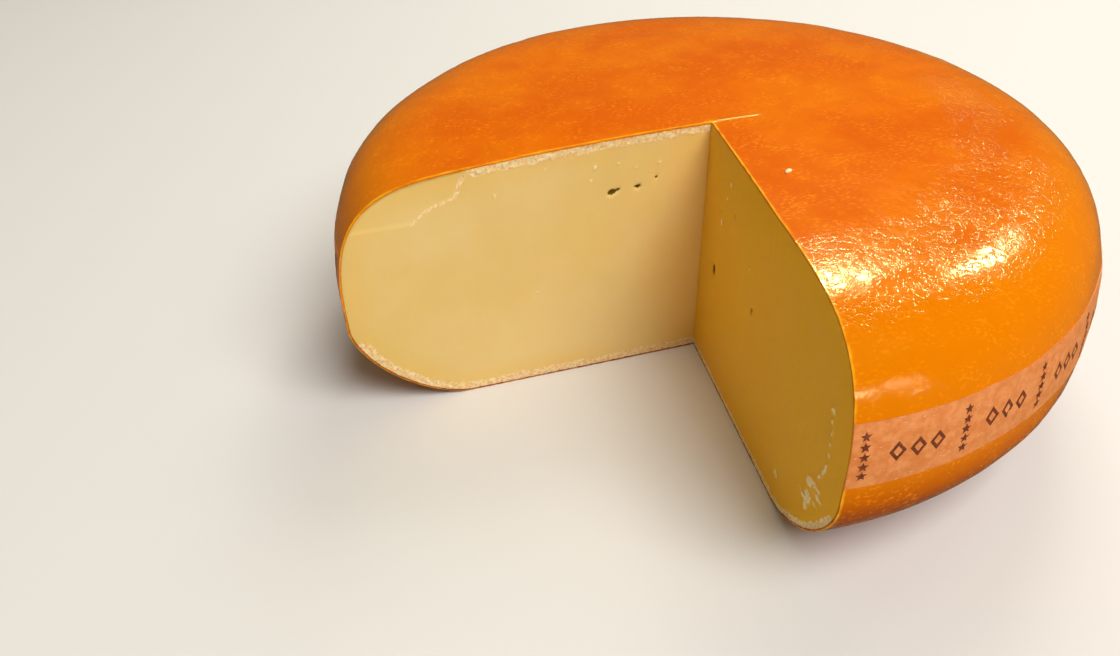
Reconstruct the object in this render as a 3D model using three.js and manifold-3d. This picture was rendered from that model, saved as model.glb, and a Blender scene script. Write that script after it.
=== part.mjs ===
// A Gouda cheese wheel with one wedge cut out of it.
//
// Frame: millimetres, +Z up. The origin is on the wheel's axis, in the plane that it rests on.
// The missing wedge points into the -X, -Y quadrant.
//
// The wheel has three pieces: the cheese itself, the thin orange coating painted all over its
// outside, and the printed paper label wound round its rim. The knife went through all three.
import * as THREE from "three";
import { mergeVertices } from "three/addons/utils/BufferGeometryUtils.js";
import Module from "manifold-3d";

const wasm = await Module();
wasm.setup();

// Driving dimensions of the wheel, in millimetres.
const radius = 175; // at the widest part of the rim
const widestHeight = 48; // where the rim is widest: the wheel has sagged a little
const shoulderHeight = 115.3; // the top face, without its dome
const dome = 7.7; // how far the middle of the top face stands above that
const upperReach = 63.5; // how far the upper rounding runs in from the rim
const upperFullness = 3.4; // superellipse exponent: 2 is an ellipse, more is squarer
const lowerReach = 52.7;
const lowerFullness = 1.6;

// The skin and the label.
const coatingThickness = 1.0;
const seatGap = 0.3; // between two pieces that touch
const labelThickness = 0.5;
const labelWidth = 28; // measured upwards
const labelHeight = 71; // of the label's middle, above the table
const labelTilt = 2.5; // how far the hand-laid label climbs and falls
const labelLowSide = 50; // degrees: the side where it dips below labelHeight

// The knife cuts. Both pass through one line, which leans a little and misses the axis.
const cutTop = { x: -0.9, y: -10.0 };
const cutBottom = { x: -4.3, y: -12.8 };
const firstCutAngle = -177.7; // degrees from +X, from the cut line out to the rim
const secondCutAngle = -92.35;

// How finely the curves are divided.
const turns = 72;
const arcSteps = 11;
const labelRows = 4;
const overcut = 60; // how far the knife reaches beyond the wheel

const totalHeight = shoulderHeight + dome;
const rad = THREE.MathUtils.degToRad;

// A quarter of a superellipse, from its widest point (t = 0) to its flat end (t = 1).
function quarter(t, reach, rise, fullness) {
  const a = (t * Math.PI) / 2;
  const along = reach * Math.cos(a) ** (2 / fullness);
  const up = rise * Math.sin(a) ** (2 / fullness);
  return new THREE.Vector2(radius - reach + along, up);
}

// How far the domed top stands above the shoulder plane at a distance r from the axis.
const domeAt = (r) => dome * (1 - (r / radius) ** 2);

// A point of the upper rim, t running from the widest point to the top face.
function upperRim(t) {
  const p = quarter(t, upperReach, shoulderHeight - widestHeight, upperFullness);
  p.y += widestHeight + domeAt(p.x);
  return p;
}

// A point of the lower rim, t running from the widest point to the resting face.
function lowerRim(t) {
  const p = quarter(t, lowerReach, widestHeight, lowerFullness);
  p.y = widestHeight - p.y;
  return p;
}

// Half of the wheel's section: from the axis at the bottom, round the rim, to the axis at the top.
function wheelOutline() {
  const points = [new THREE.Vector2(0, 0)];
  for (let i = arcSteps; i > 0; i--) points.push(lowerRim(i / arcSteps));
  for (let i = 0; i <= arcSteps; i++) points.push(upperRim(i / arcSteps));
  const faceEdge = points.at(-1).x;
  for (const share of [0.66, 0.33, 0]) {
    const r = faceEdge * share;
    points.push(new THREE.Vector2(r, shoulderHeight + domeAt(r)));
  }
  return points;
}

// The outline moved inwards by a distance, with both of its ends kept on the axis.
function inset(points, distance) {
  return points.map((p, i) => {
    const before = points[Math.max(i - 1, 0)];
    const after = points[Math.min(i + 1, points.length - 1)];
    const along = after.clone().sub(before).normalize();
    const onAxis = i === 0 || i === points.length - 1;
    const side = onAxis ? new THREE.Vector2(0, i === 0 ? 1 : -1) : new THREE.Vector2(-along.y, along.x);
    return p.clone().addScaledVector(side, distance);
  });
}

function solidFromGeometry(geometry) {
  geometry.deleteAttribute("normal");
  geometry.deleteAttribute("uv");
  const merged = mergeVertices(geometry, 1e-3);
  const mesh = new wasm.Mesh({
    numProp: 3,
    vertProperties: merged.attributes.position.array,
    triVerts: new Uint32Array(merged.index.array),
  });
  return new wasm.Manifold(mesh);
}

function geometryFromSolid(solid) {
  const mesh = solid.getMesh();
  const geometry = new THREE.BufferGeometry();
  geometry.setAttribute("position", new THREE.BufferAttribute(mesh.vertProperties, 3));
  geometry.setIndex(new THREE.BufferAttribute(mesh.triVerts, 1));
  geometry.computeVertexNormals();
  return geometry;
}

// Turns an outline about +Z.
function turned(points) {
  const geometry = new THREE.LatheGeometry(points, turns);
  geometry.rotateX(Math.PI / 2);
  return solidFromGeometry(geometry);
}

// The wedge of space that the knife took out: a prism whose inner edge is the leaning cut line.
function missingWedge() {
  const reach = radius + overcut;
  const lean = { x: cutTop.x - cutBottom.x, y: cutTop.y - cutBottom.y };
  const levels = [-overcut, totalHeight + overcut];
  const corners = levels.flatMap((z) => {
    const share = z / totalHeight;
    const x = cutBottom.x + lean.x * share;
    const y = cutBottom.y + lean.y * share;
    const outer = [firstCutAngle, secondCutAngle].map((angle) => [
      x + reach * Math.cos(rad(angle)),
      y + reach * Math.sin(rad(angle)),
      z,
    ]);
    return [[x, y, z], ...outer];
  });
  const triangles = [
    [0, 2, 1],
    [3, 4, 5],
    [0, 1, 4, 3],
    [1, 2, 5, 4],
    [2, 0, 3, 5],
  ].flatMap((f) => (f.length === 3 ? [f] : [[f[0], f[1], f[2]], [f[0], f[2], f[3]]]));
  const geometry = new THREE.BufferGeometry();
  geometry.setAttribute("position", new THREE.Float32BufferAttribute(corners.flat(), 3));
  geometry.setIndex(triangles.flat());
  return solidFromGeometry(geometry);
}

// The rim's radius at a height above its widest point, found by halving along the upper rim.
function rimRadiusAt(height) {
  let low = 0;
  let high = 1;
  for (let i = 0; i < 40; i++) {
    const middle = (low + high) / 2;
    if (upperRim(middle).y < height) low = middle;
    else high = middle;
  }
  return upperRim(low).x;
}

// The label as a whole ring, which follows the rim and climbs and falls by labelTilt.
function labelRing() {
  const heightAt = (angle) => labelHeight - labelTilt * Math.cos(angle - rad(labelLowSide));
  const positions = [];
  for (let i = 0; i < turns; i++) {
    const angle = (i / turns) * 2 * Math.PI;
    const row = (j, out) => {
      const z = heightAt(angle) + (j / labelRows - 0.5) * labelWidth;
      const r = rimRadiusAt(z) + out;
      positions.push(r * Math.cos(angle), r * Math.sin(angle), z);
    };
    for (let j = 0; j <= labelRows; j++) row(j, seatGap + labelThickness);
    for (let j = labelRows; j >= 0; j--) row(j, seatGap);
  }
  const loop = 2 * (labelRows + 1);
  const index = [];
  for (let i = 0; i < turns; i++) {
    for (let j = 0; j < loop; j++) {
      const here = i * loop;
      const next = ((i + 1) % turns) * loop;
      const above = (j + 1) % loop;
      index.push(here + j, next + j, next + above, here + j, next + above, here + above);
    }
  }
  const geometry = new THREE.BufferGeometry();
  geometry.setAttribute("position", new THREE.Float32BufferAttribute(positions, 3));
  geometry.setIndex(index);
  return solidFromGeometry(geometry);
}

function piece(name, solid, colour, roughness) {
  const material = new THREE.MeshStandardMaterial({ color: colour, roughness, metalness: 0 });
  const mesh = new THREE.Mesh(geometryFromSolid(solid), material);
  mesh.name = name;
  return mesh;
}

const outline = wheelOutline();
const wedge = missingWedge();

const paste = turned(inset(outline, coatingThickness + seatGap)).subtract(wedge);
const coating = turned(outline).subtract(turned(inset(outline, coatingThickness))).subtract(wedge);
const label = labelRing().subtract(wedge);

const wheel = new THREE.Group();
wheel.name = "cheese_wheel";
wheel.add(
  piece("cheese_paste", paste, 0xe6c878, 0.55),
  piece("rind_coating", coating, 0xee7e0a, 0.3),
  piece("label_band", label, 0xe09a62, 0.6),
);

export default wheel;
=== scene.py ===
"""A Gouda cheese wheel with one wedge cut out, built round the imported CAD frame.

The paste, the coating and the label are rebuilt as fine meshes on the CAD wheel's own section, so
that the cut faces, the wrinkled shoulder and the paper carry real relief. Everything is in metres,
in the frame's own axes: +Z up, the wheel's axis at the origin, the missing wedge towards -X, -Y.
"""
import math
import bpy
import numpy as np
from mathutils import Matrix, Vector


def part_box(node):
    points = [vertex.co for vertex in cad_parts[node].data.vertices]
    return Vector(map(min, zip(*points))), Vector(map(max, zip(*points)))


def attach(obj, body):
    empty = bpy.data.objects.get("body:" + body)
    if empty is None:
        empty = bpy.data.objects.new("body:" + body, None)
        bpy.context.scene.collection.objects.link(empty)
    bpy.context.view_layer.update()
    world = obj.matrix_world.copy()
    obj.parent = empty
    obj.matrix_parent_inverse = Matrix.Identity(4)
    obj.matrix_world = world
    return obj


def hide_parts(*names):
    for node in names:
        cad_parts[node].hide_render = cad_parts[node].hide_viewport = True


MM = 0.001
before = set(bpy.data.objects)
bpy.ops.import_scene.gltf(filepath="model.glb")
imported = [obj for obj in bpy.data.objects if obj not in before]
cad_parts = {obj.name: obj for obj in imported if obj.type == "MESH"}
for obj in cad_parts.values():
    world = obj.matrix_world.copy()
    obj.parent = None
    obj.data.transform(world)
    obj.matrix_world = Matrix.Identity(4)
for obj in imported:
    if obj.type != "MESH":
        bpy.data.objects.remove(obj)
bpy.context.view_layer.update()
_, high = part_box("rind_coating")

# ---------------------------------------------------------------- the wheel's section, as in part.mjs
RADIUS = high.x
HEIGHT = high.z
WIDEST_HEIGHT = 48 * MM
SHOULDER_HEIGHT = 115.3 * MM
DOME = HEIGHT - SHOULDER_HEIGHT
UPPER_REACH, UPPER_FULLNESS = 63.5 * MM, 3.4
LOWER_REACH, LOWER_FULLNESS = 52.7 * MM, 1.6
COATING = 1.0 * MM
CUT_TOP = np.array([-0.9, -10.0]) * MM
CUT_BOTTOM = np.array([-4.3, -12.8]) * MM
FIRST_CUT, SECOND_CUT = -177.7, -92.35  # degrees
SWEEP = (math.radians(SECOND_CUT), math.radians(FIRST_CUT + 360))

LABEL_WIDTH, LABEL_HEIGHT = 28 * MM, 71 * MM
LABEL_TILT, LABEL_LOW_SIDE = 2.5 * MM, math.radians(50)

# How deep the paste lies under the coating's outside, and how high the label and its ink lie over it.
PASTE_DEPTH = COATING - 0.05 * MM
LABEL_LIFT = 0.16 * MM
LABEL_BACK = -0.15 * MM  # the label's inner side is sunk into the coating
INK_LIFT, INK_THICKNESS = 0.22 * MM, 0.06 * MM


# ---------------------------------------------------------------- smooth noise, the same every run
def lattice(cell, seed):
    """A repeatable number from 0 to 1 for each whole-number cell."""
    h = cell.astype(np.int64) @ np.array([73856093, 19349663, 83492791]) + seed * 2654435761
    h = (h ^ (h >> 13)) * 1274126177 & 0x7FFFFFFF
    return ((h ^ (h >> 16)) & 0xFFFFF) / 0xFFFFF


def noise(points, size, seed):
    """Smooth noise from -1 to 1 with features about this size. Each seed gives another pattern."""
    p = points / size + 1000.0
    cell = np.floor(p)
    f = p - cell
    f = f * f * f * (f * (f * 6 - 15) + 10)
    total = np.zeros(p.shape[:-1])
    for corner in np.ndindex(2, 2, 2):
        c = np.array(corner)
        weight = np.prod(np.where(c == 1, f, 1 - f), axis=-1)
        total += weight * lattice(cell + c, seed)
    return total * 2 - 1


def layered(points, size, seed, layers=3):
    """Noise on noise, each layer half the size and half the strength."""
    return sum(noise(points, size / 2**k, seed + k) / 2**k for k in range(layers)) / (2 - 2.0 ** (1 - layers))


def ridges(points, size, seed):
    """Creases, 1 along their crests."""
    return 1 - np.abs(layered(points, size, seed, 2)) * 2.2


def smooth(x, start, end):
    """0 up to start, 1 from end on, and a smooth step between."""
    t = np.clip((x - start) / (end - start), 0, 1)
    return t * t * (3 - 2 * t)


# ---------------------------------------------------------------- points on the wheel
def flat_length(vectors):
    """The length of each vector in its first two coordinates."""
    return np.hypot(vectors[..., 0], vectors[..., 1])


def quarter(t, reach, rise, fullness):
    """A quarter of a superellipse, from the rim's widest point (t = 0) to a flat face's edge (t = 1)."""
    a = t * math.pi / 2
    along = reach * np.clip(np.cos(a), 0, 1) ** (2 / fullness)
    return RADIUS - reach + along, rise * np.sin(a) ** (2 / fullness)


def dome_at(r):
    """How far the slightly domed top stands above the shoulder, at a distance r from the axis."""
    return DOME * (1 - (r / RADIUS) ** 2)


def rim_outline(steps=3000):
    """The rim's (r, z) from the edge of the top face down to the edge of the resting face."""
    t = np.linspace(0, 1, steps)
    r_up, z_up = quarter(t, UPPER_REACH, SHOULDER_HEIGHT - WIDEST_HEIGHT, UPPER_FULLNESS)
    z_up = z_up + WIDEST_HEIGHT + dome_at(r_up)
    r_low, z_low = quarter(t, LOWER_REACH, WIDEST_HEIGHT, LOWER_FULLNESS)
    r = np.r_[r_up[::-1], r_low[1:]]
    z = np.r_[z_up[::-1], WIDEST_HEIGHT - z_low[1:]]
    return r, z


RIM_R, RIM_Z = rim_outline()


def rim_normals():
    """The rim's outward direction, as (r, z), at each point of its outline."""
    dr, dz = np.gradient(RIM_R), np.gradient(RIM_Z)
    length = np.hypot(dr, dz) + 1e-15
    return -dz / length, dr / length


NORMAL_R, NORMAL_Z = rim_normals()
FACE_EDGE_TOP, FACE_EDGE_BOTTOM = RIM_R[0], RIM_R[-1]


def cut_line(z):
    """Where the two knife cuts meet, at each height."""
    share = (np.asarray(z) / HEIGHT)[..., None]
    return CUT_BOTTOM + (CUT_TOP - CUT_BOTTOM) * share


def out_to(phi, r, z):
    """How far out from the cut line, in direction phi, the distance from the axis is r."""
    a = cut_line(z)
    along = a[..., 0] * np.cos(phi) + a[..., 1] * np.sin(phi)
    return -along + np.sqrt(np.maximum(along**2 - (a**2).sum(-1) + r**2, 0))


def place(phi, out, z):
    """The point at height z that lies this far out from the cut line, in direction phi."""
    a = cut_line(z)
    return np.stack([a[..., 0] + out * np.cos(phi), a[..., 1] + out * np.sin(phi), z + 0 * out], -1)


def face_rows(phi, share, depth, top):
    """Points on the top or resting face, at these shares of the way out to the face's edge."""
    edge_r = FACE_EDGE_TOP if top else FACE_EDGE_BOTTOM
    z = np.full(share.shape, HEIGHT - depth if top else depth)
    out = share * out_to(phi, edge_r, z)
    if top:
        for _ in range(3):  # the height depends on how far out the point lies
            z = SHOULDER_HEIGHT + dome_at(flat_length(place(phi, out, z))) - depth
            out = share * out_to(phi, edge_r, z)
    return out, z


def section(phi, depth, face_steps=300):
    """The whole section in direction phi, as (out, z) from the top of the cut line round to its foot."""
    share = np.linspace(0, 1, face_steps)
    top_out, top_z = face_rows(phi, share, depth, True)
    r, z = RIM_R - NORMAL_R * depth, RIM_Z - NORMAL_Z * depth
    rim_out = out_to(phi, r, z)
    foot_out, foot_z = face_rows(phi, share[::-1], depth, False)
    return np.r_[top_out[:-1], rim_out, foot_out[1:]], np.r_[top_z[:-1], z, foot_z[1:]]


def crowded(count, crowding):
    """Numbers from 0 to 1, closer together at both ends."""
    t = np.linspace(0, 1, count)
    return t * (1 - crowding) + crowding * (0.5 - 0.5 * np.cos(math.pi * t))


def spaced(out, z, count, crowding=0.0):
    """The curve again, with this many points spaced along it."""
    s = np.r_[0, np.cumsum(np.hypot(np.diff(out), np.diff(z)))]
    want = crowded(count, crowding) * s[-1]
    return np.interp(want, s, out), np.interp(want, s, z)


def outward(points):
    """The wheel's own outward direction at points on its outside."""
    r, z = flat_length(points), points[..., 2]
    rim = np.clip(np.searchsorted(-RIM_Z, -z), 1, len(RIM_Z) - 2)
    nr, nz = NORMAL_R[rim].copy(), NORMAL_Z[rim].copy()
    on_top = (r < FACE_EDGE_TOP + 0.5 * MM) & (z > WIDEST_HEIGHT)
    on_foot = (r < FACE_EDGE_BOTTOM + 0.5 * MM) & (z < WIDEST_HEIGHT)
    nr[on_top | on_foot] = 0
    nz[on_top], nz[on_foot] = 1, -1
    r = np.maximum(r, 1e-6)
    return np.stack([nr * points[..., 0] / r, nr * points[..., 1] / r, nz], -1)


# ---------------------------------------------------------------- relief of the outside
SCORE_ANGLE = math.radians(FIRST_CUT + 180)  # the knife's overshoot carries the first cut on
SCORE_LENGTH, SCORE_WIDTH = 25 * MM, 0.36 * MM
TEAR_REACH, FLAKE_SIZE = 3.2 * MM, 1.3 * MM
SCORE_DEPTH, FLAKE_HEIGHT = 0.45, 0.5  # mm


def shoulder_share(points):
    """1 on the rounded shoulder, fading over the top face and down the side."""
    return smooth(flat_length(points), 96 * MM, 134 * MM) * smooth(points[..., 2], 84 * MM, 104 * MM)


def crinkle_share(points):
    """Where the skin is finely crinkled: the shoulder's upper edge, and patches on the side."""
    r, z = flat_length(points), points[..., 2]
    ring = smooth(r, 92 * MM, 122 * MM) * smooth(z, 103 * MM, 117 * MM)
    side = smooth(z, 58 * MM, 66 * MM) * (1 - smooth(z, 90 * MM, 98 * MM))
    side *= np.where(r > 120 * MM, smooth(noise(points, 24 * MM, 27), 0.2, 0.45), 0)
    return ring * (0.5 + 0.5 * smooth(noise(points, 30 * MM, 25), -0.3, 0.35)) + side * 0.3


def dents(points):
    """Slow unevenness that the whole wheel has."""
    lift = smooth(points[..., 2], 2 * MM, 14 * MM)  # the resting face stays flat
    return lift * (layered(points, 60 * MM, 3) * 0.55 + noise(points, 22 * MM, 9) * 0.14) * MM


def wrinkles(points):
    """Crinkled skin on the shoulder, and soft pulls lower down the side."""
    z = points[..., 2]
    flattened = points * np.array([1.0, 1.0, 1.9])
    here = shoulder_share(points) * (0.45 + 0.55 * smooth(noise(points, 46 * MM, 21), -0.5, 0.4))
    fine = ridges(flattened, 6.5 * MM, 31) * 0.13 + ridges(flattened, 3.6 * MM, 41) * 0.07
    side = smooth(z, 26 * MM, 60 * MM) * (1 - shoulder_share(points))
    side = np.where(flat_length(points) < 96 * MM, 0, side)
    pulls = layered(points * np.array([1, 1, 1.5]), 17 * MM, 51, 2) * 0.42
    puckers = ridges(points * np.array([1.7, 1.7, 1]), 7 * MM, 55) * 0.15
    puckered = smooth(noise(points, 30 * MM, 57), -0.1, 0.35) * smooth(z, 78 * MM, 86 * MM)
    return (here * fine + side * (pulls + puckered * puckers)) * MM


def score(points):
    """The knife's overshoot on the top: (1 along its line, 1 at the tear where the two cuts meet)."""
    d = points[..., :2] - CUT_TOP
    along = d[..., 0] * math.cos(SCORE_ANGLE) + d[..., 1] * math.sin(SCORE_ANGLE)
    across = -d[..., 0] * math.sin(SCORE_ANGLE) + d[..., 1] * math.cos(SCORE_ANGLE)
    line = np.exp(-((across / SCORE_WIDTH) ** 2)) * smooth(along, -0.5 * MM, 0.5 * MM)
    line *= 1 - smooth(along, SCORE_LENGTH * 0.7, SCORE_LENGTH)
    on_top = points[..., 2] > SHOULDER_HEIGHT
    tear = np.exp(-((flat_length(d) / TEAR_REACH) ** 2))
    return line * on_top, tear * on_top


def skin_lift(points):
    """How far the coating's outside stands off the plain wheel."""
    line, tear = score(points)
    flakes = np.maximum(noise(points, FLAKE_SIZE, 61), 0) * tear
    return dents(points) + wrinkles(points) + (flakes * FLAKE_HEIGHT - line * SCORE_DEPTH) * MM


# ---------------------------------------------------------------- meshes
SHARP_EDGE = math.radians(55)  # a steeper fold than this keeps its crisp edge
SAME_POINT = 1e-7  # grid points that are nearer than this become one vertex


def strip_faces(rows, columns, start, flip):
    """Quads of a grid of rows by columns whose first vertex is start."""
    i = np.arange(rows - 1)[:, None] * columns + np.arange(columns - 1)[None, :] + start
    quads = np.stack([i, i + 1, i + columns + 1, i + columns], -1).reshape(-1, 4)
    return quads[:, ::-1] if flip else quads


def new_object(name, data):
    piece = bpy.data.objects.new(name, data)
    bpy.context.scene.collection.objects.link(piece)
    return piece


def mesh_piece(name, grids, material, masks=()):
    """One closed mesh from grids of points that share their borders, with a float mask on each point."""
    verts, quads, start = [], [], 0
    for points, flip in grids:
        rows, columns = points.shape[:2]
        verts.append(points.reshape(-1, 3))
        quads.append(strip_faces(rows, columns, start, flip))
        start += rows * columns
    verts, quads = np.concatenate(verts), np.concatenate(quads)
    _, first, same = np.unique(np.round(verts / SAME_POINT).astype(np.int64), axis=0,
                               return_index=True, return_inverse=True)
    quads = same.reshape(-1)[quads]
    faces = []
    for q in quads.tolist():
        corners = [v for k, v in enumerate(q) if v != q[k - 1]]
        if len(set(corners)) == len(corners) and len(corners) > 2:
            faces.append(corners)
    mesh = bpy.data.meshes.new(name)
    mesh.from_pydata(verts[first].tolist(), [], faces)
    mesh.shade_smooth()
    mesh.set_sharp_from_angle(angle=SHARP_EDGE)
    for mask_name, values in masks:
        layer = mesh.attributes.new(mask_name, "FLOAT", "POINT")
        layer.data.foreach_set("value", np.asarray(values, np.float32)[first])
    mesh.materials.append(material)
    mesh.update()
    piece = new_object(name, mesh)
    return piece


# ---------------------------------------------------------------- materials
def new_material(name):
    """A material, its node tree, its shader and the object's own coordinates."""
    material = bpy.data.materials.new(name)
    material.use_nodes = True
    tree = material.node_tree
    shader = tree.nodes["Principled BSDF"]
    where = tree.nodes.new("ShaderNodeTexCoord").outputs["Object"]
    return material, tree, shader, where


def add(tree, kind, inputs=(), **settings):
    """One node, with its inputs linked or set."""
    node = tree.nodes.new("ShaderNode" + kind)
    for key, value in settings.items():
        setattr(node, key, value)
    for key, value in dict(inputs).items():
        if isinstance(value, bpy.types.NodeSocket):
            tree.links.new(value, node.inputs[key])
        else:
            node.inputs[key].default_value = value
    return node


def math_node(tree, operation, *values):
    return add(tree, "Math", dict(enumerate(values)), operation=operation).outputs[0]


def mixed(tree, share, a, b):
    """Colour a where share is 0, and colour b where it is 1."""
    return add(tree, "Mix", {0: share, 6: a, 7: b}, data_type="RGBA").outputs[2]


def bumped(tree, height, strength, distance, below=None):
    """Fine relief, laid over the relief below where there is one."""
    inputs = {"Height": height, "Strength": strength, "Distance": distance}
    if below is not None:
        inputs["Normal"] = below
    return add(tree, "Bump", inputs).outputs["Normal"]


def set_inputs(node, values):
    """Constants, set straight on the node's own inputs."""
    for name, value in values.items():
        node.inputs[name].default_value = value


def noise_node(tree, where, scale, detail, roughness):
    values = {"Vector": where, "Scale": scale, "Detail": detail, "Roughness": roughness}
    return add(tree, "TexNoise", values).outputs["Fac"]


def stretched(tree, where, scale):
    return add(tree, "Mapping", {"Vector": where, "Scale": scale}).outputs["Vector"]


def ramp(tree, value, start, end):
    """The same step as smooth, in nodes."""
    return add(tree, "MapRange", {"Value": value, "From Min": start, "From Max": end},
               interpolation_type="SMOOTHSTEP").outputs["Result"]


def mask_node(tree, name):
    return add(tree, "Attribute", attribute_name=name).outputs["Fac"]


def colour(red, green, blue):
    """A screen colour, 0 to 255, as the linear values that a shader takes."""
    def linear(v):
        v /= 255
        return v / 12.92 if v <= 0.04045 else ((v + 0.055) / 1.055) ** 2.4
    return linear(red), linear(green), linear(blue), 1.0


def ragged(tree, name, grain, strength):
    """A mask whose soft border is broken up into a crumbly edge by a noise."""
    grain = math_node(tree, "SUBTRACT", grain, 0.5)
    return ramp(tree, math_node(tree, "MULTIPLY_ADD", grain, strength, mask_node(tree, name)), 0.36, 0.58)


TOP_ORANGES = colour(226, 98, 0), colour(238, 118, 0)
SHOULDER_AMBER, FOOT_PAINTED_SHADE, FLECK_YELLOW = colour(230, 126, 0), colour(160, 60, 0), colour(255, 150, 16)
CUT_GOLD, CUT_FOOT = colour(255, 180, 36), colour(206, 160, 100)
PASTE_CREAMS = colour(242, 212, 144), colour(238, 205, 128)
# Deep yellow is the paste's own deeper tone near the rind, and also painted shade over the second cut face
# and towards the inner corner of the first.
RIND_YELLOW_AND_PAINTED_SHADE, PALE_CRUMB, PIT_PAINTED_SHADE = colour(244, 180, 8), colour(255, 228, 170), colour(112, 82, 18)
RIND_TANS = colour(248, 190, 120), colour(255, 230, 180)
PAPER_TANS, PAPER_FIBRE = (colour(224, 130, 62), colour(236, 150, 86)), colour(246, 184, 136)
INK_BROWNS = colour(112, 42, 8), colour(146, 66, 26)
DRY_CREAMS = colour(255, 236, 190), colour(244, 214, 150)


def coating_colour(tree, where, blotch, cloth):
    """Flecked orange on top, amber from the shoulder down, painted shade darkening it to brown towards the
    foot, gold where a knife cut it.
    """
    height = add(tree, "SeparateXYZ", {"Vector": where}).outputs["Z"]
    broad = noise_node(tree, where, 22, 4, 0.55)
    base = mixed(tree, ramp(tree, broad, 0.36, 0.66), *TOP_ORANGES)
    base = mixed(tree, ramp(tree, height, 122 * MM, 110 * MM), base, SHOULDER_AMBER)
    # Painted shade: darker brown towards the foot, where the lower side faces away from the light.
    base = mixed(tree, ramp(tree, height, 66 * MM, 34 * MM), base, FOOT_PAINTED_SHADE)
    flecks = math_node(tree, "MULTIPLY", ramp(tree, cloth, 0.50, 0.68), ramp(tree, blotch, 0.38, 0.62))
    base = mixed(tree, math_node(tree, "MULTIPLY", flecks, 0.6), base, FLECK_YELLOW)
    cut = mixed(tree, ramp(tree, height, 9 * MM, 3 * MM), CUT_GOLD, CUT_FOOT)
    return mixed(tree, ramp(tree, mask_node(tree, "worn"), 0.12, 0.85), base, cut)


def creases(tree, where):
    """Thin creases with a ripple between them, where the skin is crinkled."""
    folds = noise_node(tree, stretched(tree, where, (1, 1, 1.6)), 200, 3, 0.6)
    folds = math_node(tree, "ABSOLUTE", math_node(tree, "SUBTRACT", folds, 0.5))
    ripple = noise_node(tree, where, 420, 2, 0.5)
    crinkled = math_node(tree, "MULTIPLY_ADD", ripple, 0.5, ramp(tree, folds, 0.0, 0.06))
    return math_node(tree, "MULTIPLY", crinkled, mask_node(tree, "crinkle"))


def coating_material():
    material, tree, shader, where = new_material("orange_coating")
    blotch = noise_node(tree, where, 95, 3, 0.6)
    cloth_x = noise_node(tree, stretched(tree, where, (460, 1050, 700)), 1, 2, 0.5)
    cloth_y = noise_node(tree, stretched(tree, where, (1100, 560, 700)), 1, 2, 0.5)
    tree.links.new(coating_colour(tree, where, blotch, cloth_x), shader.inputs["Base Color"])
    tree.links.new(math_node(tree, "MULTIPLY_ADD", blotch, 0.10, 0.08), shader.inputs["Roughness"])
    relief = bumped(tree, math_node(tree, "ADD", cloth_x, cloth_y), 0.34, 0.10 * MM)
    relief = bumped(tree, noise_node(tree, where, 330, 2, 0.5), 0.22, 0.20 * MM, relief)
    relief = bumped(tree, creases(tree, where), 1.0, 0.09 * MM, relief)
    tree.links.new(relief, shader.inputs["Normal"])
    set_inputs(shader, {"Subsurface Weight": 0.12, "Subsurface Radius": (1.0, 0.35, 0.08),
                        "Subsurface Scale": 2.5 * MM, "IOR": 1.42,
                        "Specular Tint": (1.0, 0.97, 0.40, 1), "Specular IOR Level": 0.20})
    return material


def paste_material():
    material, tree, shader, where = new_material("cheese_paste")
    broad = noise_node(tree, where, 16, 3, 0.5)
    grain = noise_node(tree, where, 900, 3, 0.6)
    base = mixed(tree, ramp(tree, broad, 0.35, 0.68), *PASTE_CREAMS)
    # Deep yellow: the paste's own tone near the rind, plus painted shade over the whole second cut face and
    # towards the first face's inner corner.
    base = mixed(tree, mask_node(tree, "rind_tone_and_painted_shade"), base, RIND_YELLOW_AND_PAINTED_SHADE)
    rind = mixed(tree, ramp(tree, grain, 0.36, 0.60), *RIND_TANS)
    base = mixed(tree, ragged(tree, "rind", grain, 0.7), base, rind)
    base = mixed(tree, ragged(tree, "pale", grain, 0.9), base, PALE_CRUMB)
    # Painted shade: the pits are coloured dark inside, besides being sunk into the face.
    base = mixed(tree, ragged(tree, "pit_painted_shade", grain, 0.8), base, PIT_PAINTED_SHADE)
    tree.links.new(base, shader.inputs["Base Color"])
    rough = math_node(tree, "MULTIPLY_ADD", mask_node(tree, "rind"), 0.32, 0.46)
    tree.links.new(rough, shader.inputs["Roughness"])
    coarse = math_node(tree, "MULTIPLY_ADD", mask_node(tree, "rind"), 5.0, 1.0)
    crumbs = math_node(tree, "MULTIPLY", grain, coarse)
    tree.links.new(bumped(tree, crumbs, 0.4, 0.10 * MM), shader.inputs["Normal"])
    set_inputs(shader, {"Subsurface Weight": 0.35, "Subsurface Radius": (1.0, 0.62, 0.22),
                        "Subsurface Scale": 5 * MM, "IOR": 1.44, "Specular IOR Level": 0.20})
    return material


def label_material():
    material, tree, shader, where = new_material("label_paper")
    mottle = noise_node(tree, where, 260, 4, 0.62)
    fibre = noise_node(tree, stretched(tree, where, (520, 520, 1500)), 1, 3, 0.6)
    base = mixed(tree, ramp(tree, mottle, 0.36, 0.66), *PAPER_TANS)
    base = mixed(tree, ramp(tree, fibre, 0.60, 0.74), base, PAPER_FIBRE)
    tree.links.new(base, shader.inputs["Base Color"])
    relief = bumped(tree, math_node(tree, "ADD", mottle, fibre), 0.4, 0.18 * MM)
    tree.links.new(relief, shader.inputs["Normal"])
    set_inputs(shader, {"Roughness": 0.42, "Subsurface Weight": 0.1, "Subsurface Scale": 1 * MM,
                        "Specular IOR Level": 0.25})
    return material


def ink_material():
    material, tree, shader, where = new_material("label_ink")
    patchy = ramp(tree, noise_node(tree, where, 700, 3, 0.6), 0.4, 0.75)
    tree.links.new(mixed(tree, patchy, *INK_BROWNS), shader.inputs["Base Color"])
    set_inputs(shader, {"Roughness": 0.5})
    return material


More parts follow.
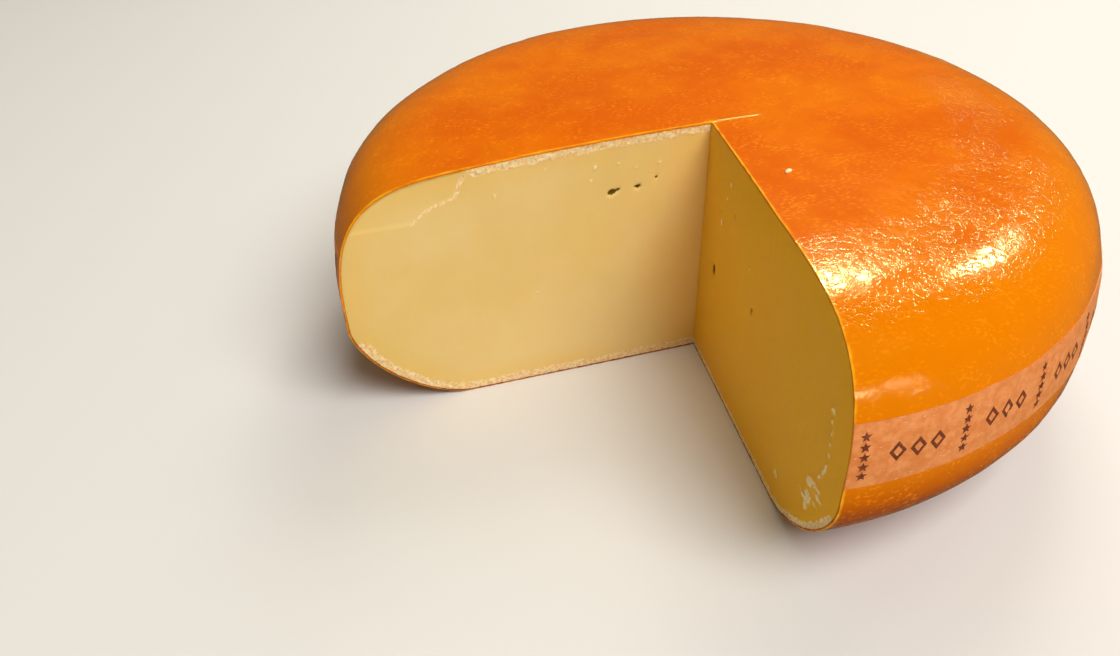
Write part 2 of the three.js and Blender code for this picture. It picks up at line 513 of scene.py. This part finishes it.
def crumb_material():
    material, tree, shader, where = new_material("dry_crumb")
    grain = noise_node(tree, where, 1500, 2, 0.5)
    tree.links.new(mixed(tree, grain, *DRY_CREAMS), shader.inputs["Base Color"])
    set_inputs(shader, {"Roughness": 0.7})
    return material


# ---------------------------------------------------------------- the coating
COATING_COLUMNS, COATING_ROWS = 440, 172
INNER_COLUMNS = 96


def shell_grid(columns, rows, depth, lift):
    """The wheel's outside, depth under its surface: one column for each direction from the cut line."""
    sweep = np.linspace(*SWEEP, columns)
    points = np.stack([place(phi, *spaced(*section(phi, depth), rows)) for phi in sweep], 1)
    return points + outward(points) * lift(points)[..., None]


def knife_edge(grid):
    """Pulls both cut ends of the coating slightly back from the cut, unevenly, as a knife leaves them."""
    for column in (0, -1):
        edge = grid[:, column]
        step = grid[:, 1 if column == 0 else -2] - edge
        length = np.linalg.norm(step, axis=-1, keepdims=True) + 1e-9
        pull = np.abs(layered(edge, 2.6 * MM, 71))[:, None] * 0.35 * MM
        keep = smooth(flat_length(edge[:, :2] - CUT_TOP), 1 * MM, 4 * MM)[:, None]
        grid[:, column] = edge + step / length * np.minimum(pull * keep, length * 0.45)


def worn_share(points):
    """Where the coating is cut or torn: the knife's overshoot, the tear, and along both cuts."""
    line, tear = score(points)
    turn = np.linspace(0, SWEEP[1] - SWEEP[0], COATING_COLUMNS)
    turn = np.minimum(np.minimum(turn, turn[::-1]), math.pi / 2)
    from_cut = flat_length(points[..., :2] - cut_line(points[..., 2])) * np.sin(turn)
    near_cut = (1 - smooth(from_cut, 0.4 * MM, 1.5 * MM)) * (0.7 + 0.5 * layered(points, 4 * MM, 75))
    torn = tear * smooth(noise(points, FLAKE_SIZE, 61), 0.0, 0.5) * 0.8
    return np.maximum.reduce([line, torn, near_cut])


def build_coating(material):
    outer = shell_grid(COATING_COLUMNS, COATING_ROWS, 0.0, skin_lift)
    knife_edge(outer)
    inner = shell_grid(INNER_COLUMNS, COATING_ROWS, COATING, dents)
    first = np.stack([outer[:, 0], inner[:, 0]], 1)
    last = np.stack([outer[:, -1], inner[:, -1]], 1)
    inside, ends = np.zeros(inner.size // 3), (first.size + last.size) // 3
    masks = [("worn", np.concatenate([worn_share(outer).ravel(), inside, np.ones(ends)])),
             ("crinkle", np.concatenate([crinkle_share(outer).ravel(), inside, np.zeros(ends)]))]
    grids = [(outer, True), (inner, False), (first, False), (last, True)]
    return mesh_piece("coating_skin", grids, material, masks)


# ---------------------------------------------------------------- the cut faces
OUT_STEPS, UP_STEPS, HIDDEN_COLUMNS = 290, 134, 18
EDGE_CROWDING = 0.55  # 0 spaces the rows evenly, 1 crowds them fully towards the top and the foot
RIND_WIDTH = 3.8 * MM  # the crumbly band under the top of the first cut
FIRST_FOOT, SECOND_FOOT = 4.6 * MM, 3.2 * MM  # the crumbly bands at the foot of both
HUG_START = 2.5 * MM  # both cut faces meet at the cut line, so neither moves there
MASKS = ("rind", "pit_painted_shade", "pale", "rind_tone_and_painted_shade")

# Flaws in the cut faces, in whole or half mm: how far out from the inner corner, how high,
# and how long across and up.
FIRST_PITS = [(46, 96, 3, 1.5), (43, 97, 1, 0.5), (34, 97, 1.5, 1), (25, 100, 1, 0.5)]
SECOND_PITS = [(18, 57, 2.5, 3), (21, 90, 1, 1), (38, 97, 1, 1), (66, 67, 1.5, 1.5)]
FIRST_CRUMBS = [(82, 51, 1, 1), (54, 110, 1, 1.5), (56, 104, 1, 1), (43, 110, 1, 0.5), (35, 107, 1, 0.5),
                (24, 108, 1, 1), (28, 104, 0.5, 1), (100, 104, 0.5, 1.5), (77, 113, 1, 0.5)]
SECOND_CRUMBS = [(147, 81, 2.5, 1.5), (144, 42, 7, 1.5), (140, 40, 3, 3), (148, 39, 4, 1.5),
                 (141, 33, 3, 3), (138, 30, 5, 1.5), (146, 34, 2, 1), (140, 27, 1.5, 2), (112, 17, 2, 2),
                 (129, 11, 1.5, 1.5), (24, 86, 1, 2), (60, 84, 1, 1), (31, 108, 1, 1.5),
                 (28, 100, 0.5, 1.5)]
# The crack where the rind band runs out on the first cut, and the scrape down the second, as polylines.
CRACK = [(107, 120), (112, 117), (115, 113), (116, 109), (118, 106), (122, 105), (126, 104), (131, 102),
         (137, 97)]
SCRAPE = [(147, 81), (149, 70), (150, 62), (149, 54), (145, 46)]


def patch(phi):
    """A cut face as a grid of (out, z): the cut line on its left, the top, the rim and the foot round it."""
    out, z = section(phi, PASTE_DEPTH)
    rim_start = len(out) // 2 - len(RIM_R) // 2
    steep = np.flatnonzero(np.abs(NORMAL_R) > np.abs(NORMAL_Z)) + rim_start
    upper, lower = steep[0], steep[-1]
    top = np.stack(spaced(out[:upper + 1], z[:upper + 1], OUT_STEPS + 1), -1)
    rim = np.stack(spaced(out[upper:lower + 1], z[upper:lower + 1], UP_STEPS + 1, EDGE_CROWDING), -1)
    foot = np.stack(spaced(out[lower:], z[lower:], OUT_STEPS + 1), -1)[::-1]
    rows = crowded(UP_STEPS + 1, EDGE_CROWDING)
    spine = np.stack([0 * rows, z[0] + (z[-1] - z[0]) * rows], -1)
    u = np.linspace(0, 1, OUT_STEPS + 1)[None, :, None]
    v = rows[:, None, None]
    corners = (1 - v) * (1 - u) * top[0] + (1 - v) * u * top[-1] + v * (1 - u) * foot[0] + v * u * foot[-1]
    return (1 - v) * top[None] + v * foot[None] + (1 - u) * spine[:, None] + u * rim[:, None] - corners


def border(grid):
    """The patch's edge from the top of the cut line round to its foot."""
    return np.concatenate([grid[0], grid[1:, -1], grid[-1, -2::-1]])


def rim_distance(grid):
    """How far each point of a cut face lies from the nearest of every third point on its outline."""
    gap = np.full(grid.shape[:-1], np.inf)
    for point in border(grid)[::3]:
        gap = np.minimum(gap, flat_length(grid - point))
    return gap


def distance_to(points, line):
    """How far each (out, z) point lies from a polyline given in mm."""
    gap = np.full(points.shape[:-1], np.inf)
    line = np.asarray(line, float) * MM
    for a, b in zip(line[:-1], line[1:]):
        t = np.clip(((points - a) @ (b - a)) / ((b - a) @ (b - a)), 0, 1)
        gap = np.minimum(gap, np.linalg.norm(points - (a + t[..., None] * (b - a)), axis=-1))
    return gap


def blobs(points, solid, flaws, seed):
    """1 in the middle of each flaw, 0 outside it, with an uneven edge."""
    total = np.zeros(points.shape[:-1])
    for out, z, across, up in flaws:
        d = np.hypot((points[..., 0] / MM - out) / across, (points[..., 1] / MM - z) / up)
        d = d * (1 + 0.45 * noise(solid, 1.1 * MM, seed))
        total = np.maximum(total, 1 - smooth(d, 0.45, 1.15))
    return total


def crumbly_bands(grid, solid, rim_gap, first):
    """The crumbly band at the foot and, on the first cut, the one under the top and the crack at its end."""
    out, z = grid[..., 0], grid[..., 1]
    wobble = layered(solid, 5 * MM, 81) * 0.9 * MM + layered(solid, 1.8 * MM, 85) * 0.5 * MM
    width = (FIRST_FOOT if first else SECOND_FOOT) + wobble * 1.4
    bands = (1 - smooth(rim_gap, width * 0.6, width * 1.2)) * (z < 40 * MM)
    bands *= 0.7 + 0.3 * smooth(layered(solid, 7 * MM, 97), -0.3, 0.3)
    if first:
        width = RIND_WIDTH + wobble
        top_band = (1 - smooth(rim_gap, width * 0.8, width * 1.12)) * (z > 60 * MM)
        top_band *= 1 - smooth(out + wobble * 2, 107 * MM, 112 * MM)
        crack = 1 - smooth(distance_to(grid, CRACK) + wobble * 0.6, 0.2 * MM, 1.3 * MM)
        bands = np.maximum.reduce([top_band, crack, bands])
    return np.clip(bands, 0, 1)


def pale_flaws(grid, solid, rough, first):
    """The crumbs stuck to a cut face and, on the second, the scrape down it."""
    pale = blobs(grid, solid, FIRST_CRUMBS if first else SECOND_CRUMBS, 111)
    if not first:
        scrape = 1 - smooth(distance_to(grid, SCRAPE), 0.3 * MM, 1.3 * MM)
        pale = np.maximum(pale, scrape * smooth(noise(solid, 2.4 * MM, 95), -0.4, 0.2))
    return np.clip(pale * (0.8 + 0.5 * rough), 0, 1)


def face_relief(grid, solid, first):
    """For one cut face: how deep each point lies behind the cut plane, its share of the coating's dents
    and the masks."""
    out, z = grid[..., 0], grid[..., 1]
    rim_gap = rim_distance(grid)
    rough = layered(solid, 1.5 * MM, 91)
    rind = crumbly_bands(grid, solid, rim_gap, first)
    pits = blobs(grid, solid, FIRST_PITS if first else SECOND_PITS, 101)
    pale = pale_flaws(grid, solid, rough, first)
    specks = smooth(noise(solid, 1.6 * MM, 121), 0.80, 0.93) * smooth(noise(solid, 30 * MM, 125), 0.0, 0.5)
    streaks = noise(np.stack([out, z * 0.06, out * 0], -1), 2.2 * MM, 131)
    depth = layered(solid, 34 * MM, 141) * 0.35 + streaks * 0.025
    depth = depth + rind * (0.05 + rough * 0.75) - pale * (0.6 + rough * 0.3) + pits * 1.5 + specks * 0.3
    if first:
        crack_out, crack_z = (np.array(CRACK) * MM).T
        chip = smooth(z - np.interp(out, crack_out, crack_z), 0, 1.2 * MM)
        depth = depth + chip * smooth(out, 110 * MM, 116 * MM) * 0.5
    keep = smooth(out, 0, HUG_START) * (0.18 + 0.82 * smooth(rim_gap, 0, 1.2 * MM))
    near_rim = (1 - smooth(rim_gap, 1.5 * MM, 17 * MM)) * 0.6 * smooth(out, 20 * MM, 60 * MM)
    # Painted shade: the paste turns deeper yellow towards the inner corner, where the two cut faces shade it.
    painted_corner_shade = 1 - smooth(out, 0, 45 * MM)
    # The deep yellow mask: near the rind it is the paste's own tone; towards the first face's inner corner
    # and over nearly all of the second face it is painted shade.
    masks = {"rind": rind, "pit_painted_shade": np.clip(pits, 0, 1), "pale": np.clip(pale + specks * 0.35, 0, 1),
             "rind_tone_and_painted_shade": near_rim * 0.35 + painted_corner_shade * 0.3 if first else 0.9 + 0.1 * near_rim}
    return depth * keep * MM, 1 - smooth(rim_gap, 0, 8 * MM), masks


def dented(points, share):
    """Points under the coating, moved by its slow unevenness."""
    return points + outward(points) * (dents(points) * share)[..., None]


def hidden_column(phi):
    """One column of the paste's outside, under the coating, from the cut line's top round to its foot."""
    edge = border(patch(phi))
    return dented(place(phi, *edge.T), smooth(edge[:, 0], 0, HUG_START))


def build_paste(material):
    faces, borders, masks = [], {}, {name: [] for name in MASKS}
    for first, phi, side in ((False, SWEEP[0], 1), (True, SWEEP[1], -1)):
        grid = patch(phi)
        solid = place(phi, grid[..., 0], grid[..., 1])
        depth, hug, made = face_relief(grid, solid, first)
        solid = dented(solid, hug * smooth(grid[..., 0], 0, HUG_START))
        into = np.array([-math.sin(phi), math.cos(phi), 0]) * side
        solid = solid + into * depth[..., None]
        faces.append(solid)
        borders[first] = border(solid)
        for name in MASKS:
            masks[name].append(made[name].ravel())
    count = len(borders[True])
    sweep = np.linspace(*SWEEP, HIDDEN_COLUMNS)
    hidden = np.stack([hidden_column(phi) for phi in sweep], 1)
    hidden[:, 0], hidden[:, -1] = borders[False], borders[True]
    for name in MASKS:
        masks[name].append(np.zeros(count * HIDDEN_COLUMNS))
    grids = [(faces[0], True), (faces[1], False), (hidden, True)]
    layers = [(name, np.concatenate(masks[name])) for name in MASKS]
    return mesh_piece("paste_body", grids, material, layers)


# ---------------------------------------------------------------- the label
LABEL_COLUMNS, LABEL_ROWS = 520, 26


def label_height(angle, up):
    """The height at this distance up from the middle of the slightly tilted label."""
    return LABEL_HEIGHT - LABEL_TILT * np.cos(angle - LABEL_LOW_SIDE) + up


def label_point(angle, up, lift):
    """A point on the label: angle round the axis, up from the label's middle, lift off the coating."""
    z = label_height(angle, up)
    half = len(RIM_Z) // 2 + 1
    r = np.interp(-z, -RIM_Z[:half], RIM_R[:half])
    points = np.stack([r * np.cos(angle), r * np.sin(angle), z + 0 * angle], -1)
    folds = np.maximum(ridges(points * np.array([1, 1, 0.45]), 9 * MM, 151), 0) * 0.12 * MM
    return points + outward(points) * (skin_lift(points) + folds + lift)[..., None]


def cut_angle(phi, z):
    """The angle round the axis at which a knife cut meets the rim, at height z."""
    r = np.interp(-z, -RIM_Z, RIM_R)
    x, y, _ = np.moveaxis(place(phi, out_to(phi, r, z), z), -1, 0)
    return np.arctan2(y, x)


def label_ends(up):
    """The angles at which the two cuts end the label, at each distance up from its middle."""
    start, end = np.full(up.shape, SWEEP[0]), np.full(up.shape, SWEEP[1])
    for _ in range(4):  # the height depends on the angle, as the label is tilted
        start = cut_angle(SWEEP[0], label_height(start, up))
        end = cut_angle(SWEEP[1], label_height(end, up)) % (2 * math.pi)
    return start, end


def build_label(material):
    up = np.linspace(-0.5, 0.5, LABEL_ROWS) * LABEL_WIDTH
    start, end = label_ends(up)
    share = np.linspace(0, 1, LABEL_COLUMNS)[None, :]
    angle = start[:, None] + (end - start)[:, None] * share
    wave = noise(np.stack([angle * RADIUS, angle * 0, angle * 0], -1), 6 * MM, 161) * 0.12 * MM
    across = up[:, None] + wave
    front = label_point(angle, across, LABEL_LIFT)
    back = label_point(angle, across, LABEL_BACK)
    grids = [(front, False), (back, True),
             (np.stack([front[0], back[0]]), True),
             (np.stack([front[-1], back[-1]]), False),
             (np.stack([front[:, 0], back[:, 0]], 1), True),
             (np.stack([front[:, -1], back[:, -1]], 1), False)]
    return mesh_piece("label_paper", grids, material)


# The print: a column of stars, then a row of hollow lozenges, over and over round the label.
PRINT_PITCH = math.radians(13.7)
FIRST_STARS = math.radians(-91.3)
STARS, STAR_STEP, STAR_RADIUS = 5, 4.3 * MM, 2.25 * MM
LOZENGES, LOZENGE_STEP = 3, 8.2 * MM
LOZENGE_HALF, LOZENGE_HOLE = (3.4 * MM, 4.4 * MM), 0.52
STAR_NOTCH = 0.42  # how far out the notches between a star's points lie, as a share of its radius
PRINT_MARGIN = 0.001  # radians kept clear at both ends of the label


def star_outline(radius):
    """A five-pointed star as a fan of (across, up) triangles round its middle."""
    tips = [radius * (1 if k % 2 == 0 else STAR_NOTCH) for k in range(10)]
    ring = [(r * math.sin(k * math.pi / 5), r * math.cos(k * math.pi / 5)) for k, r in enumerate(tips)]
    return [[(0, 0), ring[k], ring[(k + 1) % 10]] for k in range(10)]


def lozenge_outline(half, hole):
    """A hollow lozenge as four (across, up) bars."""
    ring = [(half[0], 0), (0, half[1]), (-half[0], 0), (0, -half[1])]
    inner = [(x * hole, y * hole) for x, y in ring]
    return [[ring[k], ring[(k + 1) % 4], inner[(k + 1) % 4], inner[k]] for k in range(4)]


def print_marks(end):
    """(angle, up, outline) of each mark from the first column of stars round to the label's end."""
    marks, middle = [], FIRST_STARS
    while middle < end:
        for k in range(STARS):
            marks.append((middle, (k - (STARS - 1) / 2) * STAR_STEP, star_outline(STAR_RADIUS)))
        for k in range(LOZENGES):
            across = (k - (LOZENGES - 1) / 2) * LOZENGE_STEP
            marks.append((middle + PRINT_PITCH / 2 + across / RADIUS, 0.0,
                          lozenge_outline(LOZENGE_HALF, LOZENGE_HOLE)))
        middle += PRINT_PITCH
    return marks


def build_ink(material):
    start, end = (angle[0] for angle in label_ends(np.zeros(1)))
    verts, faces = [], []
    for angle, up, outline in print_marks(end):
        spread = max(abs(x) for part in outline for x, _ in part) / RADIUS
        if angle - spread < start + PRINT_MARGIN or angle + spread > end - PRINT_MARGIN:
            continue
        for part in outline:
            at = len(verts)
            xy = np.array(part)
            verts += label_point(angle + xy[:, 0] / RADIUS, up + xy[:, 1], INK_LIFT).tolist()
            faces.append(list(range(at, at + len(part))))
    mesh = bpy.data.meshes.new("label_print")
    mesh.from_pydata(verts, [], faces)
    mesh.materials.append(material)
    piece = new_object("label_print", mesh)
    thick = piece.modifiers.new("thick", "SOLIDIFY")
    thick.thickness = INK_THICKNESS
    thick.offset = -1
    return piece


# ---------------------------------------------------------------- the stray crumb
CRUMB_HALF, CRUMB_TURN = np.array([1.9, 1.05, 0.75]) * MM, math.radians(35)
CRUMB_SPOT = np.array([13, -61, 0]) * MM
CRUMB_SEAT = 0.45 * MM  # how far its middle lies above the skin, so that it is pressed in a little


def build_crumb(material):
    bpy.ops.mesh.primitive_ico_sphere_add(subdivisions=4, radius=1)
    piece = bpy.context.object
    piece.name = piece.data.name = "stray_crumb"
    points = np.array([v.co for v in piece.data.vertices])
    points *= (1 + 0.22 * layered(points, 0.9, 171))[:, None]
    points *= CRUMB_HALF
    turn = np.array(Matrix.Rotation(CRUMB_TURN, 3, "Z"))
    spot = CRUMB_SPOT.copy()
    spot[2] = SHOULDER_HEIGHT + dome_at(flat_length(spot))
    spot[2] += skin_lift(spot[None])[0] + CRUMB_SEAT
    points = points @ turn.T + spot
    piece.data.vertices.foreach_set("co", points.ravel())
    piece.data.shade_smooth()
    piece.data.materials.append(material)
    return piece


# ---------------------------------------------------------------- camera, floor and light
# The camera: where it stands, what it looks at, its roll about that line, and its lens.
EYE, TARGET = Vector((-0.1511, -0.3817, 0.3116)), Vector((-0.07055, 0.00625, 0.01045))
ROLL = math.radians(-2.594)
SENSOR_WIDTH, LENS = 36, 30.98  # mm

# Lights: name, azimuth and elevation in degrees, distance, size, watts and tint.
WHITE, CREAM, YELLOW, PINK = (1.0, 0.98, 0.94), (1.0, 0.96, 0.90), (1.0, 0.97, 0.60), (1.0, 0.86, 1.0)
BROAD_LIGHTS = [("front", -62, 55, 2.6, 1.7, 66, WHITE),
                ("back", 60, 44, 1.9, 1.0, 14, CREAM)]
GLOSS_LIGHTS = [("glint_back", 49, 53, 1.5, 0.28, 36, YELLOW),
                ("glint_side", 17, 42, 1.5, 0.24, 26, YELLOW),
                ("glint_edge", -70, 9, 1.6, 0.12, 3.0, PINK),
                ("glint_low", -60, 10, 1.6, 0.16, 1.7, PINK),
                ("glint_foot", -56, 1, 1.6, 0.07, 0.6, PINK)]
AMBIENT_COLOUR, AMBIENT_STRENGTH = (1.0, 0.82, 0.48, 1), 0.17
FLOOR_SIZE, FLOOR_COLOUR = 6, colour(230, 230, 230)
BACKDROP_RADIUS, BACKDROP_COLOUR = 1.6, colour(222, 217, 207)


def build_camera():
    camera = new_object("camera", bpy.data.cameras.new("camera"))
    ahead = (TARGET - EYE).normalized()
    right = ahead.cross(Vector((0, 0, 1))).normalized()
    upward = right.cross(ahead)
    right, upward = (right * math.cos(ROLL) + upward * math.sin(ROLL),
                     upward * math.cos(ROLL) - right * math.sin(ROLL))
    turn = Matrix((right, upward, -ahead)).transposed().to_4x4()
    camera.matrix_world = Matrix.Translation(EYE) @ turn
    camera.data.sensor_width = SENSOR_WIDTH
    camera.data.lens = LENS
    camera.data.clip_start = 0.01
    bpy.context.scene.camera = camera


def area_light(name, azimuth, elevation, distance, size, power, tint):
    """A soft square light that shines on the wheel from this direction, in degrees."""
    light = new_object(name, bpy.data.lights.new(name, "AREA"))
    light.data.size, light.data.energy, light.data.color = size, power, tint
    a, e = math.radians(azimuth), math.radians(elevation)
    middle = Vector((0, 0, HEIGHT / 2))
    away = Vector((math.cos(a) * math.cos(e), math.sin(a) * math.cos(e), math.sin(e)))
    light.location = middle + away * distance
    light.rotation_euler = away.to_track_quat("Z", "Y").to_euler()
    return light


def build_lights():
    """Broad lights shade the wheel, and small ones only shine in its gloss."""
    for settings in BROAD_LIGHTS:
        area_light(*settings).visible_glossy = False
    for settings in GLOSS_LIGHTS:
        area_light(*settings).visible_diffuse = False


def build_backdrop():
    """A plain pale dome beyond the floor in low views. It neither lights nor shades anything."""
    bpy.ops.mesh.primitive_uv_sphere_add(radius=BACKDROP_RADIUS, segments=96, ring_count=48)
    dome = bpy.context.object
    dome.name = "backdrop"
    material, _, shader, _ = new_material("pale_backdrop")
    set_inputs(shader, {"Base Color": colour(0, 0, 0), "Specular IOR Level": 0,
                        "Emission Color": BACKDROP_COLOUR, "Emission Strength": 1})
    material.cycles.emission_sampling = "NONE"
    dome.data.materials.append(material)
    dome.visible_diffuse = dome.visible_glossy = dome.visible_transmission = False
    dome.visible_shadow = False


def build_stage():
    """The floor, the backdrop and the faint warm light from all round."""
    bpy.ops.mesh.primitive_plane_add(size=FLOOR_SIZE)
    floor = bpy.context.object
    floor.name = "floor"
    material, _, shader, _ = new_material("pale_floor")
    set_inputs(shader, {"Base Color": FLOOR_COLOUR, "Roughness": 0.9})
    floor.data.materials.append(material)
    floor.visible_glossy = False  # not mirrored in the coating, which stays deep in colour
    build_backdrop()
    world = bpy.data.worlds.new("studio")
    bpy.context.scene.world = world
    world.use_nodes = True
    background = world.node_tree.nodes["Background"]
    set_inputs(background, {"Color": AMBIENT_COLOUR, "Strength": AMBIENT_STRENGTH})
    bpy.context.scene.view_settings.view_transform = "Standard"


build_camera()
build_stage()
build_lights()
paste = build_paste(paste_material())
coating = build_coating(coating_material())
label = build_label(label_material())
ink = build_ink(ink_material())
crumb = build_crumb(crumb_material())

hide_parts("cheese_paste")
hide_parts("rind_coating")
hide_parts("label_band")
for piece in (paste, coating, label, ink, crumb):
    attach(piece, "root")
